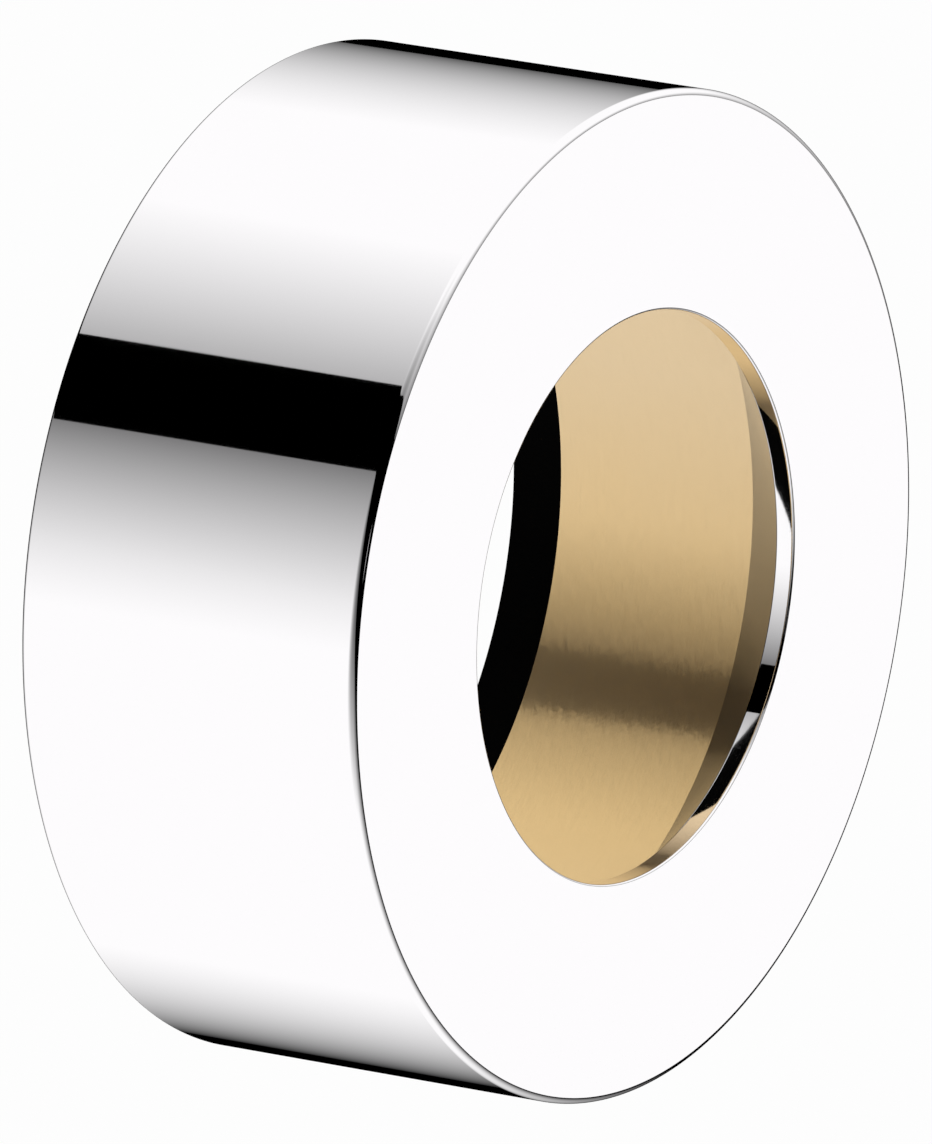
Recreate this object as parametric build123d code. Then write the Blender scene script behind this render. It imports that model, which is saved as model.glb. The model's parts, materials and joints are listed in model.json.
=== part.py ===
"""Extension escutcheon: a thick turned ring that covers a wall fitting standing proud of the wall.

One brass turning is plated and polished outside and left bare inside. Its front face has a hole with
a short lip, a cone opens behind the lip to the main bore, and a counterbore in the rear face seats a
soft sealing ring, cut to the same bore, that stands a little proud and bears on the wall.

Frame: the ring's axis lies along Y, the front face looks towards -Y and +Z is up. The origin is on
the axis, in the wall plane, where the sealing ring first touches the wall. Sizes are in millimetres
and the cone's angle is in degrees.
"""
import os
from math import radians, tan

from build123d import *

# Brass body, outside
OUTER_DIAMETER = 70.0
BODY_LENGTH = 27.0
FRONT_EDGE_RADIUS = 0.5
REAR_EDGE_RADIUS = 0.2

# Front hole and the lip round it
HOLE_DIAMETER = 39.6
LIP_LENGTH = 1.4
HOLE_EDGE_RADIUS = 0.1
LIP_BACK_RADIUS = 0.15

# Inside of the body; the cone's angle is taken from the axis
BORE_DIAMETER = 53.0
CONE_ANGLE = 47.0

# Counterbore in the rear face, and the sealing ring in it
COUNTERBORE_DEPTH = 3.5
COUNTERBORE_CHAMFER = 0.2
SEAL_WIDTH = 4.4
SEAL_PROUD = 0.5
SEAL_SIDE_CLEARANCE = 0.1

# Radii that follow from the sizes above
outer_radius = OUTER_DIAMETER / 2
hole_radius = HOLE_DIAMETER / 2
bore_radius = BORE_DIAMETER / 2
seal_radius = bore_radius + SEAL_WIDTH
counterbore_radius = seal_radius + SEAL_SIDE_CLEARANCE

# Places along the axis, counted from the wall plane
rear_y = -SEAL_PROUD
front_y = rear_y - BODY_LENGTH
seat_y = rear_y - COUNTERBORE_DEPTH
lip_back_y = front_y + LIP_LENGTH
cone_end_y = lip_back_y + (bore_radius - hole_radius) / tan(radians(CONE_ANGLE))


def turned(corners):
    """Turn a closed section once round the Y axis.

    Each corner is (radius, y, rounding), and a rounding of 0 leaves that corner sharp.
    """
    outline = Polyline(*[(radius, y) for radius, y, _ in corners], close=True)
    section = make_face(outline)
    for radius, y, rounding in corners:
        if rounding > 0:
            corner = section.vertices().sort_by_distance((radius, y, 0))[0]
            section = fillet(corner, rounding)
    return revolve(section, Axis.Y)


def make_body():
    """The plated brass ring, as one turning."""
    return turned(
        [
            (outer_radius, front_y, FRONT_EDGE_RADIUS),
            (outer_radius, rear_y, REAR_EDGE_RADIUS),
            (counterbore_radius + COUNTERBORE_CHAMFER, rear_y, 0),
            (counterbore_radius, rear_y - COUNTERBORE_CHAMFER, 0),
            (counterbore_radius, seat_y, 0),
            (bore_radius, seat_y, 0),
            (bore_radius, cone_end_y, 0),
            (hole_radius, lip_back_y, LIP_BACK_RADIUS),
            (hole_radius, front_y, HOLE_EDGE_RADIUS),
        ]
    )


def make_seal():
    """The soft ring: it sits on the counterbore's floor and reaches the wall plane."""
    return turned(
        [
            (bore_radius, seat_y, 0),
            (seal_radius, seat_y, 0),
            (seal_radius, 0, 0),
            (bore_radius, 0, 0),
        ]
    )


def write_parts():
    """Write each piece to its own file, named after the piece."""
    os.makedirs("parts", exist_ok=True)
    pieces = {
        "escutcheon_body": make_body(),
        "wall_seal": make_seal(),
    }
    for name, piece in pieces.items():
        piece.label = name
        export_step(piece, f"parts/{name}.step")
        print(f"{name}: {piece.volume:.1f} cubic millimetres")


write_parts()
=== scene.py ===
"""Extension escutcheon: the finish of a plated brass ring and its seal, on a white studio stage.

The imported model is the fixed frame. Its two nodes are covered by pieces turned here to the same
sizes, because mirror plating shows every flat of a coarse mesh. Nothing on this part moves.

The ring's axis is Y, its front face looks towards -Y, +Z is up, and the wall is the plane Y = 0.
"""
import json
from math import cos, hypot, pi, radians, sin, tan

import bmesh
import bpy
from mathutils import Matrix, Vector


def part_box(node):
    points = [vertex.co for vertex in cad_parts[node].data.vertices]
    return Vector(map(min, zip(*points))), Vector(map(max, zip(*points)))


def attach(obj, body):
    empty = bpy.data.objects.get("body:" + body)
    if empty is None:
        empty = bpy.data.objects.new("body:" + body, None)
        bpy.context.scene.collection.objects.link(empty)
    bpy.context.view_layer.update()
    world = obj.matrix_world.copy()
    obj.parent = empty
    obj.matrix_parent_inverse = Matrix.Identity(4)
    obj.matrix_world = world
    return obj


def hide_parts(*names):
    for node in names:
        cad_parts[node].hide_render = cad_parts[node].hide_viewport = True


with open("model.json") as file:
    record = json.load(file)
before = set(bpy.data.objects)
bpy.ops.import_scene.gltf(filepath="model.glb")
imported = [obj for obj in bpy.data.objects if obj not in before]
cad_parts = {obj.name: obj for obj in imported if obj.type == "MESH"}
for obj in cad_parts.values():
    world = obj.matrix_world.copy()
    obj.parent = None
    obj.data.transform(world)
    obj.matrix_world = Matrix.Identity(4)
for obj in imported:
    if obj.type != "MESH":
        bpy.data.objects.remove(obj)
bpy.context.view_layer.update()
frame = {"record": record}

bl_info = {
    "name": "Extension Escutcheon",
    "version": (1, 0, 0),
    "blender": (4, 5, 0),
    "location": "3D View > Sidebar > Escutcheon",
    "description": "Turns a plated escutcheon and its sealing ring on a white studio stage",
    "category": "Add Mesh",
}

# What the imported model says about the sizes, in metres
ring_low, ring_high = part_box("escutcheon_body")
seal_low, seal_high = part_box("wall_seal")
mounts = {mount["name"]: mount for mount in frame["record"]["mounts"]}
hole_radius = mounts["sleeve_hole"]["dims"]["r_mm"] / 1000
bore_radius = mounts["rear_bore"]["dims"]["r_mm"] / 1000
bore_length = mounts["rear_bore"]["dims"]["length_mm"] / 1000

MM = 0.001
SEAL_CLEARANCE = 0.1 * MM

# How finely the pieces are turned. Edges that bend less than the angle are shaded smooth.
TURN_STEPS = 512
HOLDING_FLAT = 0.03 * MM
SMOOTH_BELOW = radians(30)

# Flats in each rounding: most on the front edge, whose thin line mirrors the whole studio
FRONT_EDGE_FLATS = 24
EDGE_FLATS = 10
LIP_BACK_FLATS = 8
SEAL_EDGE_FLATS = 4

# Directions from the part into the studio
UPPER_DOME = (0.4214, -0.2208, 0.8796)
LOWER_DOME = (-0.5822, 0.1197, -0.8042)
BY_CAMERA = (-0.8578, -0.3941, 0.3300)
MIRRORED_BY_FACE = (0.8091, -0.5326, -0.2483)
AHEAD = (0.0, -1.0, 0.0)
BEHIND = (0.0, 1.0, 0.0)

# Y of every direction that the outside of the ring mirrors to the camera
MIRRORED_BY_OUTSIDE = 0.5326

# The floor is nearly white round the part, and white where its fade, in metres, ends
FLOOR_FADE_START = 0.3
FLOOR_FADE_LENGTH = 0.5
FLOOR_NEAR_WHITENESS = 0.96


class RingSizes(bpy.types.PropertyGroup):
    """Sizes of the plated ring.

    The hole's edge and the rear edge are rounded about 0.05 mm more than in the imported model, so
    that the light on them is as wide as in the photograph.
    """

    outer_radius: bpy.props.FloatProperty(
        name="Outer Radius", description="Radius of the outside of the ring",
        default=ring_high.x, unit="LENGTH", subtype="DISTANCE", precision=5)
    front: bpy.props.FloatProperty(
        name="Front", description="Place of the front face along Y",
        default=ring_low.y, unit="LENGTH", subtype="DISTANCE", precision=5)
    rear: bpy.props.FloatProperty(
        name="Rear", description="Place of the rear face along Y",
        default=ring_high.y, unit="LENGTH", subtype="DISTANCE", precision=5)
    front_edge: bpy.props.FloatProperty(
        name="Front Edge", description="Rounding between the front face and the outside",
        default=0.5 * MM, unit="LENGTH", subtype="DISTANCE", precision=5)
    rear_edge: bpy.props.FloatProperty(
        name="Rear Edge", description="Rounding between the outside and the rear face",
        default=0.25 * MM, unit="LENGTH", subtype="DISTANCE", precision=5)
    mouth_chamfer: bpy.props.FloatProperty(
        name="Mouth Chamfer", description="Chamfer at the mouth of the counterbore",
        default=0.2 * MM, unit="LENGTH", subtype="DISTANCE", precision=5)
    hole_radius: bpy.props.FloatProperty(
        name="Hole Radius", description="Radius of the hole in the front face",
        default=hole_radius, unit="LENGTH", subtype="DISTANCE", precision=5)
    lip_length: bpy.props.FloatProperty(
        name="Lip Length", description="Length of the lip round the hole, from the front face",
        default=1.4 * MM, unit="LENGTH", subtype="DISTANCE", precision=5)
    hole_edge: bpy.props.FloatProperty(
        name="Hole Edge", description="Rounding between the front face and the lip",
        default=0.16 * MM, unit="LENGTH", subtype="DISTANCE", precision=5)
    lip_back: bpy.props.FloatProperty(
        name="Lip Back", description="Rounding between the lip and the cone behind it",
        default=0.15 * MM, unit="LENGTH", subtype="DISTANCE", precision=5)
    bore_radius: bpy.props.FloatProperty(
        name="Bore Radius", description="Radius of the main bore",
        default=bore_radius, unit="LENGTH", subtype="DISTANCE", precision=5)
    cone_end: bpy.props.FloatProperty(
        name="Cone End", description="Place along Y where the cone meets the main bore",
        default=-bore_length, unit="LENGTH", subtype="DISTANCE", precision=5)
    counterbore_radius: bpy.props.FloatProperty(
        name="Counterbore Radius",
        description="Radius of the counterbore that holds the sealing ring",
        default=seal_high.x + SEAL_CLEARANCE, unit="LENGTH", subtype="DISTANCE", precision=5)
    seat: bpy.props.FloatProperty(
        name="Seat", description="Place along Y of the counterbore's floor",
        default=seal_low.y, unit="LENGTH", subtype="DISTANCE", precision=5)


class SealSizes(bpy.types.PropertyGroup):
    """Sizes of the sealing ring."""

    inner_radius: bpy.props.FloatProperty(
        name="Inner Radius", description="Radius of the opening, the same as the main bore",
        default=bore_radius, unit="LENGTH", subtype="DISTANCE", precision=5)
    outer_radius: bpy.props.FloatProperty(
        name="Outer Radius", description="Radius of the outside of the sealing ring",
        default=seal_high.x, unit="LENGTH", subtype="DISTANCE", precision=5)
    seat: bpy.props.FloatProperty(
        name="Seat", description="Place along Y of the side that lies in the counterbore",
        default=seal_low.y, unit="LENGTH", subtype="DISTANCE", precision=5)
    wall: bpy.props.FloatProperty(
        name="Wall", description="Place along Y of the side that bears on the wall",
        default=seal_high.y, unit="LENGTH", subtype="DISTANCE", precision=5)
    edge: bpy.props.FloatProperty(
        name="Edge", description="Rounding of the sealing ring's edges",
        default=0.12 * MM, unit="LENGTH", subtype="DISTANCE", precision=5)


class Finishes(bpy.types.PropertyGroup):
    """Colours of the plating, of the cone it thins out on, of the bare brass and of the rubber."""

    plating: bpy.props.FloatVectorProperty(
        name="Plating", description="Colour of the polished plating",
        default=(0.985, 0.972, 0.985), size=3, min=0, max=1, subtype="COLOR")
    thin_plating: bpy.props.FloatVectorProperty(
        name="Thin Plating",
        description="Colour of the cone, where the plating thins out over the brass",
        default=(0.62, 0.64, 0.68), size=3, min=0, max=1, subtype="COLOR")
    brass: bpy.props.FloatVectorProperty(
        name="Brass", description="Colour of the bare brass in the bore",
        default=(1.0, 0.705, 0.325), size=3, min=0, max=1, subtype="COLOR")
    brass_mark: bpy.props.FloatVectorProperty(
        name="Brass Mark", description="Colour of the brass in the bottom of the turning marks",
        default=(0.96, 0.66, 0.285), size=3, min=0, max=1, subtype="COLOR")
    # Painted highlight: a paler copy of the brass, laid on the upper part of the bore
    painted_highlight_brass: bpy.props.FloatVectorProperty(
        name="Pale Brass",
        description="Colour of the brass higher up in the bore, where the baths ran off first",
        default=(1.0, 0.765, 0.46), size=3, min=0, max=1, subtype="COLOR")
    rubber: bpy.props.FloatVectorProperty(
        name="Rubber", description="Colour of the sealing ring",
        default=(0.0012, 0.0012, 0.0012), size=3, min=0, max=1, subtype="COLOR")


class StageSettings(bpy.types.PropertyGroup):
    """Camera, floor and studio light."""

    azimuth: bpy.props.FloatProperty(
        name="Azimuth", description="Turn of the camera round the part, from straight in front",
        default=radians(-56.6462), unit="ROTATION", subtype="ANGLE")
    elevation: bpy.props.FloatProperty(
        name="Elevation", description="Height of the camera above the horizon",
        default=radians(14.3778), unit="ROTATION", subtype="ANGLE")
    distance: bpy.props.FloatProperty(
        name="Distance", description="Distance of the camera from the middle of the front face",
        default=1.7073, unit="LENGTH", subtype="DISTANCE")
    aside: bpy.props.FloatProperty(
        name="Aside", description="How far the camera stands to the left of that middle",
        default=0.01168, unit="LENGTH", subtype="DISTANCE", precision=5)
    above: bpy.props.FloatProperty(
        name="Above", description="How far the camera stands above that middle",
        default=0.00173, unit="LENGTH", subtype="DISTANCE", precision=5)
    lens: bpy.props.FloatProperty(
        name="Lens", description="Focal length of the camera, in millimetres",
        default=787.52, min=1)
    floor_height: bpy.props.FloatProperty(
        name="Floor Height", description="Height of the floor, counted up from the ring's axis",
        default=-0.14, unit="LENGTH", subtype="DISTANCE")
    floor_radius: bpy.props.FloatProperty(
        name="Floor Radius", description="Radius of the floor",
        default=3.0, unit="LENGTH", subtype="DISTANCE")
    pale: bpy.props.FloatVectorProperty(
        name="Pale", description="Colour of the floor where the part's shadow falls on it",
        default=(0.9, 0.9, 0.9), size=3, min=0, max=1, subtype="COLOR")
    white: bpy.props.FloatVectorProperty(
        name="White", description="Colour of the floor further out, the background and the light",
        default=(1.0, 1.0, 1.0), size=3, min=0, max=1, subtype="COLOR")


class Value:
    """A number on its way through a node tree. Sums on it add Math nodes."""

    def __init__(self, tree, socket):
        self.tree = tree
        self.socket = socket

    def math(self, operation, *values):
        return self.tree.add("ShaderNodeMath", {"operation": operation}, values)["Value"]

    def __add__(self, other):
        return self.math("ADD", self, other)

    def __radd__(self, other):
        return self.math("ADD", other, self)

    def __sub__(self, other):
        return self.math("SUBTRACT", self, other)

    def __rsub__(self, other):
        return self.math("SUBTRACT", other, self)

    def __mul__(self, other):
        return self.math("MULTIPLY", self, other)

    def __rmul__(self, other):
        return self.math("MULTIPLY", other, self)

    def __truediv__(self, other):
        return self.math("DIVIDE", self, other)

    def __rtruediv__(self, other):
        return self.math("DIVIDE", other, self)

    def __pow__(self, other):
        return self.math("POWER", self, other)

    def __gt__(self, other):
        return self.math("GREATER_THAN", self, other)

    def arctan2(self, other):
        return self.math("ARCTAN2", self, other)

    def at_most(self, other):
        return self.math("MINIMUM", self, other)

    def at_least(self, other):
        return self.math("MAXIMUM", self, other)

    def limited(self):
        """The value, held between 0 and 1."""
        return self.at_least(0.0).at_most(1.0)


class NodeTree:
    """A node tree that is written from Python, one node at a time."""

    def __init__(self, owner):
        owner.use_nodes = True
        self.nodes = owner.node_tree.nodes
        self.links = owner.node_tree.links
        self.nodes.clear()

    def add(self, kind, settings=None, inputs=None):
        """Adds a node, makes its settings, then fills or links its sockets.

        The sockets are given by name or in order. Returns the node's outputs by name.
        """
        node = self.nodes.new(kind)
        for name, setting in (settings or {}).items():
            setattr(node, name, setting)
        sockets = [socket for socket in node.inputs if socket.enabled]
        given = inputs.items() if isinstance(inputs, dict) else enumerate(inputs or ())
        for key, value in given:
            if isinstance(key, str):
                socket = next(socket for socket in sockets if socket.name == key)
            else:
                socket = sockets[key]
            if isinstance(value, Value):
                self.links.new(value.socket, socket)
            else:
                socket.default_value = value
        return {socket.name: Value(self, socket) for socket in node.outputs if socket.enabled}


def new_object(name, data):
    """Puts a new object in the scene, instead of any older one of this name."""
    old = bpy.data.objects.get(name)
    if old:
        bpy.data.objects.remove(old)
    made = bpy.data.objects.new(name, data)
    bpy.context.scene.collection.objects.link(made)
    return made


def turned_piece(name, corners, surface):
    """Turns a closed section about the Y axis and returns the new object.

    A corner is its radius, its place along Y and its rounding, in metres, and the number of
    flats in that rounding. surface(radius, y) gives the number of a face's material.
    """
    # Drawn in millimetres, because the modelling tools merge what lies within a micrometre
    bm = bmesh.new()
    outline, rounded = [], []
    places = [Vector((radius, y, 0)) / MM for radius, y, _, _ in corners]
    for index, place in enumerate(places):
        rounding, flats = corners[index][2:]
        if not rounding:
            outline.append(bm.verts.new(place))
            continue
        before = (places[index - 1] - place).normalized()
        after = (places[(index + 1) % len(places)] - place).normalized()
        # A narrow flat on each side keeps the rounding's bend out of the long faces
        reach = rounding / MM / tan(before.angle(after) / 2)
        held = reach + HOLDING_FLAT / MM
        outline.append(bm.verts.new(place + before * held))
        outline.append(bm.verts.new(place))
        rounded.append((outline[-1], reach, flats))
        outline.append(bm.verts.new(place + after * held))
    bm.faces.new(outline)
    for point, reach, flats in rounded:
        bmesh.ops.bevel(
            bm, geom=[point], offset=reach, offset_type="OFFSET", affect="VERTICES",
            segments=flats, profile=0.5, material=-1)
    bmesh.ops.delete(bm, geom=bm.faces[:], context="FACES_ONLY")
    bmesh.ops.spin(
        bm, geom=bm.verts[:] + bm.edges[:], cent=(0, 0, 0), axis=(0, 1, 0), dvec=(0, 0, 0),
        angle=2 * pi, steps=TURN_STEPS, use_merge=True)
    bmesh.ops.recalc_face_normals(bm, faces=bm.faces[:])
    bmesh.ops.scale(bm, vec=(MM, MM, MM), verts=bm.verts[:])
    for face in bm.faces:
        face.smooth = True
        middle = face.calc_center_median()
        face.material_index = surface(hypot(middle.x, middle.z), middle.y)
    for edge in bm.edges:
        edge.smooth = edge.calc_face_angle(0) < SMOOTH_BELOW
    mesh = bpy.data.meshes.new(name)
    bm.to_mesh(mesh)
    bm.free()
    return new_object(name, mesh)


def colour(rgb, shade=1.0):
    """A colour property as the four numbers of a colour socket, made darker or lighter."""
    return (*(channel * shade for channel in rgb), 1.0)


def new_material(name):
    """An empty material and its node tree."""
    material = bpy.data.materials.get(name) or bpy.data.materials.new(name)
    return material, NodeTree(material)


def place_on_piece(tree):
    """The object coordinates: the vector and its three parts."""
    vector = tree.add("ShaderNodeTexCoord")["Object"]
    parts = tree.add("ShaderNodeSeparateXYZ", inputs=[vector])
    return vector, parts["X"], parts["Y"], parts["Z"]


def radius_of(first, second):
    """How far a place lies from the axis or the middle, from its two parts across it."""
    return (first * first + second * second) ** 0.5


def noise(tree, dimensions, place, scale, detail, roughness):
    """Noise between 0 and 1, over a number in one dimension and over a vector in more."""
    socket = "W" if dimensions == "1D" else "Vector"
    return tree.add("ShaderNodeTexNoise", {"noise_dimensions": dimensions}, {
        socket: place, "Scale": scale, "Detail": detail, "Roughness": roughness})["Fac"]


def mix(tree, factor, first, second):
    """A colour that goes from the first to the second as the factor goes from 0 to 1."""
    return tree.add("ShaderNodeMix", {"data_type": "RGBA"}, {
        "Factor": factor, "A": first, "B": second})["Result"]


def bump(tree, strength, distance, height):
    """The normal over fine relief. Its distance is the relief's full height, in metres."""
    return tree.add("ShaderNodeBump", inputs={
        "Strength": strength, "Distance": distance, "Height": height})["Normal"]


def complete(tree, values):
    """Ends a material in its one shader, with these values on the sockets."""
    shader = tree.add("ShaderNodeBsdfPrincipled", inputs=values)["BSDF"]
    tree.add("ShaderNodeOutputMaterial", inputs={"Surface": shader})


def polished_plating(finishes):
    """Bright plating over fine polishing: almost a mirror, with the faintest haze."""
    material, tree = new_material("polished_plating")
    place, x, along, z = place_on_piece(tree)
    haze = noise(tree, "3D", place, scale=160.0, detail=4.0, roughness=0.6)
    rings = noise(
        tree, "1D", along + radius_of(x, z), scale=9000.0, detail=2.0, roughness=0.5)
    complete(tree, {
        "Base Color": colour(finishes.plating),
        "Metallic": 1.0,
        "Roughness": 0.015 + 0.02 * haze,
        "Normal": bump(tree, strength=0.12, distance=0.0000004, height=rings)})
    return material


def thin_plating(finishes):
    """The cone, where the plating thins out: dull, with the rings of the tool showing through, and
    darker low down as painted shade.
    """
    material, tree = new_material("thin_plating")
    place, x, along, z = place_on_piece(tree)
    marks = noise(
        tree, "1D", along + radius_of(x, z) * 0.4, scale=4200.0, detail=2.0, roughness=0.6)
    patches = noise(tree, "3D", place, scale=90.0, detail=3.0, roughness=0.5)
    # Painted shade: darker low down on the cone, from about a third of the bore's radius under the
    # axis
    height = z / bore_radius
    painted_light_mask = ((height + 0.42) / 0.16 + 0.6 * (patches - 0.5)).limited()
    # A shaded and a lit copy of the cone's colour, chosen by height alone for that painted shade
    thin = colour(finishes.thin_plating, shade=0.42)
    lit_cone_tone = colour(finishes.thin_plating, shade=1.05)
    complete(tree, {
        "Base Color": mix(tree, painted_light_mask, thin, lit_cone_tone),
        "Metallic": 1.0,
        "Roughness": 0.11 + 0.05 * marks + 0.05 * patches,
        "Normal": bump(tree, strength=0.25, distance=0.000004, height=marks)})
    return material


def turned_brass(finishes):
    """Bare brass as the lathe leaves it: satin, with fine rings round the axis, and paler higher
    up as a painted highlight.
    """
    material, tree = new_material("turned_brass")
    place, x, along, z = place_on_piece(tree)
    marks = noise(
        tree, "1D", along + radius_of(x, z) * 0.4, scale=5200.0, detail=3.0, roughness=0.65)
    # Short streaks, laid on the bore as if it were rolled out flat and longest round the axis
    arc = x.arctan2(z) * bore_radius
    rolled_out = tree.add("ShaderNodeCombineXYZ", inputs={"X": arc * 0.35, "Y": along})["Vector"]
    streaks = noise(tree, "2D", rolled_out, scale=1900.0, detail=2.0, roughness=0.6)
    patches = noise(tree, "3D", place, scale=70.0, detail=3.0, roughness=0.5)
    in_mark = (0.25 + 0.6 * marks) * (0.5 + patches * 0.6)
    marked = mix(tree, in_mark, colour(finishes.brass), colour(finishes.brass_mark))
    # Painted highlight: paler from about a third of the bore's radius under the axis to as much
    # above it
    height = z / bore_radius
    painted_highlight_mask = ((height + 0.35 + 0.3 * (patches - 0.5)) / 0.7).limited()
    complete(tree, {
        "Base Color": mix(tree, painted_highlight_mask, marked, colour(finishes.painted_highlight_brass)),
        "Metallic": 0.64,
        "Coat Weight": 1.0,
        "Coat Roughness": 1.0,
        "Coat IOR": 2.1,
        "Roughness": 0.06 + 0.04 * marks + 0.05 * patches + 0.1 * streaks,
        "Normal": bump(tree, strength=0.35, distance=0.000006, height=marks + 6.0 * streaks)})
    return material


def rear_plating(finishes):
    """The rear face, plated over the rings of the facing tool and never polished: satin."""
    material, tree = new_material("rear_plating")
    place, x, _, z = place_on_piece(tree)
    marks = noise(tree, "1D", radius_of(x, z), scale=6000.0, detail=2.0, roughness=0.6)
    patches = noise(tree, "3D", place, scale=80.0, detail=3.0, roughness=0.5)
    thin, full = colour(finishes.plating, shade=0.75), colour(finishes.plating)
    complete(tree, {
        "Base Color": mix(tree, patches, thin, full),
        "Metallic": 1.0,
        "Roughness": 0.42 + 0.1 * marks + 0.06 * patches,
        "Normal": bump(tree, strength=0.3, distance=0.000004, height=marks)})
    return material


def seal_rubber(finishes):
    """Black rubber with a fine dull skin and a cloudy bloom on it."""
    material, tree = new_material("seal_rubber")
    place = tree.add("ShaderNodeTexCoord")["Object"]
    skin = noise(tree, "3D", place, scale=6000.0, detail=3.0, roughness=0.6)
    bloom = noise(tree, "3D", place, scale=120.0, detail=4.0, roughness=0.55)
    dark, light = colour(finishes.rubber, shade=0.6), colour(finishes.rubber, shade=1.6)
    complete(tree, {
        "Base Color": mix(tree, bloom, dark, light),
        "Roughness": 0.62 + 0.15 * skin,
        "Specular IOR Level": 0.02,
        "Normal": bump(tree, strength=0.4, distance=0.00002, height=skin)})
    return material


def studio_floor(stage):
    """Pale floor. It keeps the part's shadow close by, and runs into the white further out."""
    material, tree = new_material("studio_floor")
    _, x, y, _ = place_on_piece(tree)
    away = (radius_of(x, y) - FLOOR_FADE_START) / FLOOR_FADE_LENGTH
    ray = tree.add("ShaderNodeLightPath")
    is_seen = ray["Is Camera Ray"].at_least(ray["Is Glossy Ray"])
    is_seen = is_seen.at_least(ray["Is Transmission Ray"])
    whiteness = is_seen * away.at_least(FLOOR_NEAR_WHITENESS).at_most(1.0)
    pale = tree.add("ShaderNodeBsdfPrincipled", inputs={
        "Base Color": colour(stage.pale), "Roughness": 0.9, "Specular IOR Level": 0.0})["BSDF"]
    white = tree.add("ShaderNodeEmission", inputs={
        "Color": colour(stage.white), "Strength": 1.0})["Emission"]
    top = tree.add("ShaderNodeMixShader", inputs=[whiteness, pale, white])["Shader"]
    # From below the floor isn't there, so that the part can be seen from every side
    clear = tree.add("ShaderNodeBsdfTransparent")["BSDF"]
    below = tree.add("ShaderNodeNewGeometry")["Backfacing"]
    both = tree.add("ShaderNodeMixShader", inputs=[below, top, clear])["Shader"]
    tree.add("ShaderNodeOutputMaterial", inputs={"Surface": both})
    return material


def dome(tree, direction, middle, rim, fade, edge=0.0, power=1.0):
    """Brightness of a white dome of soft light, seen in a direction.

    rim is the cosine of the angle from its middle to its rim. The light is edge at the rim and
    rises to 1 over fade, which is a difference of cosines too, and power bends that rise. All
    but power may change with the direction.
    """
    facing = tree.add("ShaderNodeVectorMath", {"operation": "DOT_PRODUCT"}, (direction, middle))
    inward = facing["Value"] - rim
    left = 1 - (inward / fade).limited()
    return (inward > 0.0) * (1 - (1 - edge) * left ** power)


def studio_light(world, stage):
    """White light from nearly everywhere: a dome above, a dome below and a dark gap between them.

    It is dim round the camera and behind the part. A small white card stands where the front
    face mirrors it to the camera, and a smaller grey one straight ahead of the part.
    """
    tree = NodeTree(world)
    direction = tree.add("ShaderNodeTexCoord")["Generated"]
    parts = tree.add("ShaderNodeSeparateXYZ", inputs=[direction])
    x, y = parts["X"], parts["Y"]
    # How far a direction lies to the right, from 0 at the left end of the gap to 1 at its right
    right = ((x + 0.6) / 1.4).limited()
    # How far it lies ahead of what the outside mirrors, where the front edge takes over
    ahead = MIRRORED_BY_OUTSIDE - y
    upper = dome(
        tree, direction, UPPER_DOME, rim=0.2964 + ahead * (0.115 - 0.16 * x),
        fade=0.29 + 0.11 * right, edge=0.495 - 0.385 * right, power=0.97)
    lower = dome(
        tree, direction, LOWER_DOME, rim=0.0726 - ahead * (0.006 + 0.278 * x),
        fade=0.55 + 0.11 * right, edge=0.20 - 0.19 * right, power=1.2)
    by_camera = dome(tree, direction, BY_CAMERA, rim=0.536, fade=0.712)
    behind = dome(tree, direction, BEHIND, rim=0.55, fade=0.43)
    white_card = dome(
        tree, direction, MIRRORED_BY_FACE, rim=cos(radians(5)), fade=1.0, edge=1.0)
    grey_card = 0.55 * dome(tree, direction, AHEAD, rim=cos(radians(3)), fade=0.0006)
    domes = upper.at_least(lower) * (1 - by_camera) * (1 - 0.95 * behind)
    light = domes.at_least(white_card).at_least(grey_card)
    studio = tree.add("ShaderNodeBackground", inputs={
        "Color": colour(stage.white), "Strength": light})["Background"]
    white = tree.add("ShaderNodeBackground", inputs={
        "Color": colour(stage.white), "Strength": 1.0})["Background"]
    seen = tree.add("ShaderNodeLightPath")["Is Camera Ray"]
    both = tree.add("ShaderNodeMixShader", inputs=[seen, studio, white])["Shader"]
    tree.add("ShaderNodeOutputWorld", inputs={"Surface": both})


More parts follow.
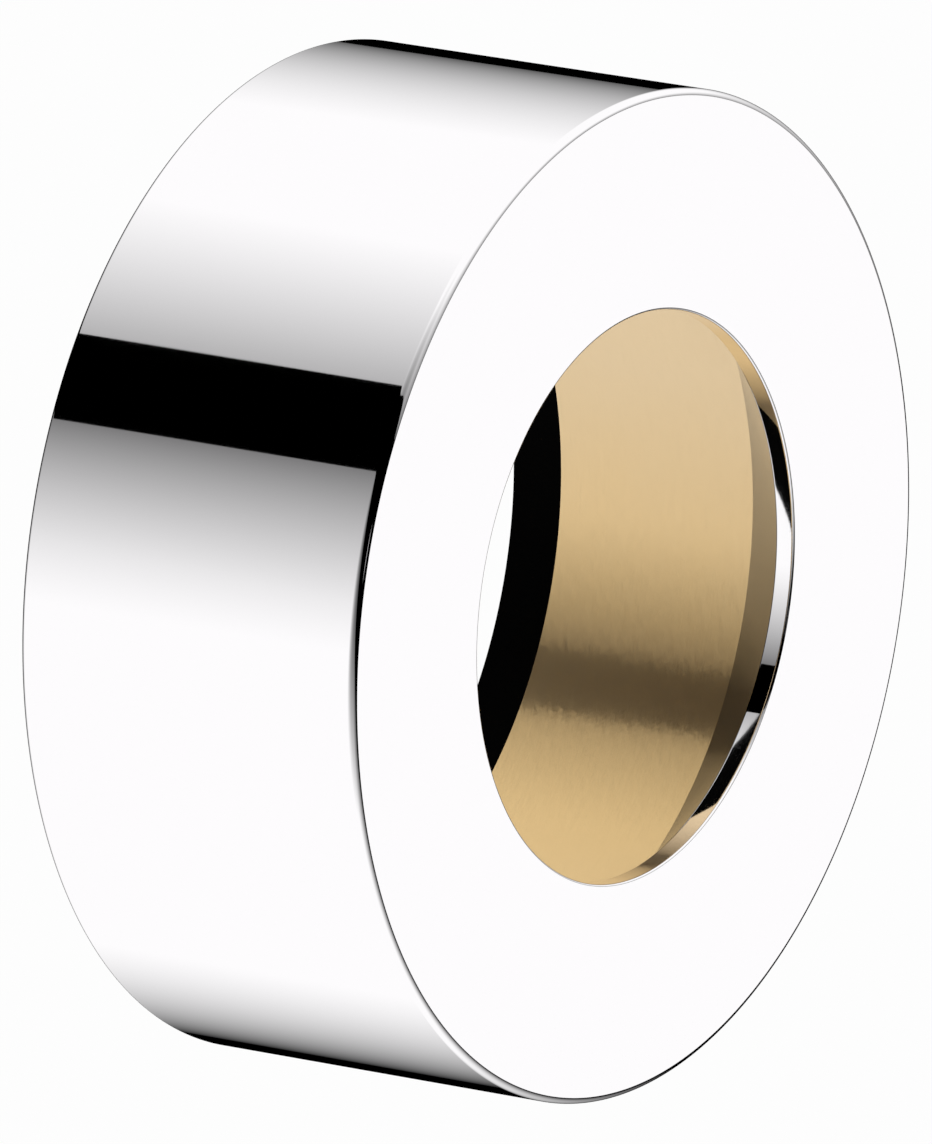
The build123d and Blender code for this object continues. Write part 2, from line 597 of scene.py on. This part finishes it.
class ESCUTCHEON_OT_turn_ring(bpy.types.Operator):
    """Turn the plated brass ring, polished outside and bare inside"""

    bl_idname = "escutcheon.turn_ring"
    bl_label = "Turn the Ring"

    def execute(self, context):
        sizes, finishes = context.scene.ring_sizes, context.scene.finishes
        if not (sizes.hole_radius < sizes.bore_radius
                < sizes.counterbore_radius < sizes.outer_radius):
            raise ValueError("the hole, bore, counterbore and outside have to grow in that order")
        lip_end = sizes.front + sizes.lip_length
        corners = [
            (sizes.hole_radius, sizes.front, sizes.hole_edge, EDGE_FLATS),
            (sizes.outer_radius, sizes.front, sizes.front_edge, FRONT_EDGE_FLATS),
            (sizes.outer_radius, sizes.rear, sizes.rear_edge, EDGE_FLATS),
            (sizes.counterbore_radius + sizes.mouth_chamfer, sizes.rear, 0, 0),
            (sizes.counterbore_radius, sizes.rear - sizes.mouth_chamfer, 0, 0),
            (sizes.counterbore_radius, sizes.seat, 0, 0),
            (sizes.bore_radius, sizes.seat, 0, 0),
            (sizes.bore_radius, sizes.cone_end, 0, 0),
            (sizes.hole_radius, lip_end, sizes.lip_back, LIP_BACK_FLATS),
        ]
        polished, thin, bare, satin = range(4)
        # The polish reaches a little way round the back of the lip
        polish_end = lip_end + sizes.lip_back / 3
        rear_face_end = sizes.outer_radius - sizes.rear_edge

        def surface(radius, y):
            if y > sizes.seat and sizes.counterbore_radius < radius < rear_face_end:
                return satin
            if y < polish_end or radius > sizes.counterbore_radius:
                return polished
            return thin if y < sizes.cone_end else bare

        ring = turned_piece("plated_ring", corners, surface)
        for material in (polished_plating, thin_plating, turned_brass, rear_plating):
            ring.data.materials.append(material(finishes))
        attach(ring, "root")
        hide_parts("escutcheon_body")
        return {"FINISHED"}


class ESCUTCHEON_OT_cut_seal(bpy.types.Operator):
    """Make the soft sealing ring that sits in the rear of the ring"""

    bl_idname = "escutcheon.cut_seal"
    bl_label = "Make the Sealing Ring"

    def execute(self, context):
        sizes = context.scene.seal_sizes
        if not (sizes.inner_radius < sizes.outer_radius and sizes.seat < sizes.wall):
            raise ValueError("the sealing ring needs some width and some thickness")
        corners = [
            (sizes.inner_radius, sizes.seat, sizes.edge, SEAL_EDGE_FLATS),
            (sizes.outer_radius, sizes.seat, sizes.edge, SEAL_EDGE_FLATS),
            (sizes.outer_radius, sizes.wall, sizes.edge, SEAL_EDGE_FLATS),
            (sizes.inner_radius, sizes.wall, sizes.edge, SEAL_EDGE_FLATS),
        ]
        seal = turned_piece("sealing_ring", corners, lambda radius, y: 0)
        seal.data.materials.append(seal_rubber(context.scene.finishes))
        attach(seal, "root")
        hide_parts("wall_seal")
        return {"FINISHED"}


class ESCUTCHEON_OT_set_stage(bpy.types.Operator):
    """Set the floor, the studio light and the camera"""

    bl_idname = "escutcheon.set_stage"
    bl_label = "Set the Stage"

    def execute(self, context):
        scene = context.scene
        stage = scene.stage_settings
        self.lay_floor(stage)
        scene.world = bpy.data.worlds.get("studio_light") or bpy.data.worlds.new("studio_light")
        studio_light(scene.world, stage)
        self.place_camera(scene, stage)
        scene.view_settings.view_transform = "Standard"
        return {"FINISHED"}

    def lay_floor(self, stage):
        """Lays a round floor below the part. Mirrors look past it to the studio light."""
        bm = bmesh.new()
        bmesh.ops.create_circle(bm, cap_ends=True, segments=96, radius=stage.floor_radius)
        bmesh.ops.translate(bm, vec=(0, 0, stage.floor_height), verts=bm.verts[:])
        mesh = bpy.data.meshes.new("studio_floor")
        bm.to_mesh(mesh)
        bm.free()
        mesh.materials.append(studio_floor(stage))
        floor = new_object("studio_floor", mesh)
        floor.visible_glossy = False

    def place_camera(self, scene, stage):
        """Stands the camera where the photograph was taken from."""
        turn, rise = stage.azimuth, stage.elevation
        back = Vector((sin(turn) * cos(rise), -cos(turn) * cos(rise), sin(rise)))
        right = Vector((cos(turn), sin(turn), 0))
        up = back.cross(right)
        middle = Vector((0, scene.ring_sizes.front, 0))
        place = middle + back * stage.distance - right * stage.aside + up * stage.above
        camera = new_object("photo_camera", bpy.data.cameras.new("photo_camera"))
        turned = Matrix((right, up, back)).transposed().to_4x4()
        camera.matrix_world = Matrix.Translation(place) @ turned
        camera.data.lens = stage.lens
        camera.data.sensor_width = 36
        camera.data.clip_start = 0.05
        camera.data.clip_end = 20
        scene.camera = camera


class ESCUTCHEON_PT_panel(bpy.types.Panel):
    """Sizes, colours and steps of the escutcheon"""

    bl_idname = "ESCUTCHEON_PT_panel"
    bl_label = "Escutcheon"
    bl_space_type = "VIEW_3D"
    bl_region_type = "UI"
    bl_category = "Escutcheon"

    def draw(self, context):
        steps = (
            ("escutcheon.turn_ring", "ring_sizes"),
            ("escutcheon.cut_seal", "seal_sizes"),
            ("escutcheon.set_stage", "stage_settings"),
        )
        for operator, group in steps:
            box = self.layout.box()
            settings = getattr(context.scene, group)
            for name in settings.__annotations__:
                box.prop(settings, name)
            box.operator(operator)
        colours = self.layout.box()
        for name in context.scene.finishes.__annotations__:
            colours.prop(context.scene.finishes, name)


classes = (
    RingSizes, SealSizes, Finishes, StageSettings, ESCUTCHEON_OT_turn_ring,
    ESCUTCHEON_OT_cut_seal, ESCUTCHEON_OT_set_stage, ESCUTCHEON_PT_panel,
)


def register():
    for each in classes:
        bpy.utils.register_class(each)
    bpy.types.Scene.ring_sizes = bpy.props.PointerProperty(type=RingSizes)
    bpy.types.Scene.seal_sizes = bpy.props.PointerProperty(type=SealSizes)
    bpy.types.Scene.finishes = bpy.props.PointerProperty(type=Finishes)
    bpy.types.Scene.stage_settings = bpy.props.PointerProperty(type=StageSettings)


def unregister():
    for name in ("ring_sizes", "seal_sizes", "finishes", "stage_settings"):
        delattr(bpy.types.Scene, name)
    for each in reversed(classes):
        bpy.utils.unregister_class(each)


def main():
    register()
    bpy.ops.escutcheon.turn_ring()
    bpy.ops.escutcheon.cut_seal()
    bpy.ops.escutcheon.set_stage()


if __name__ == "__main__":
    main()
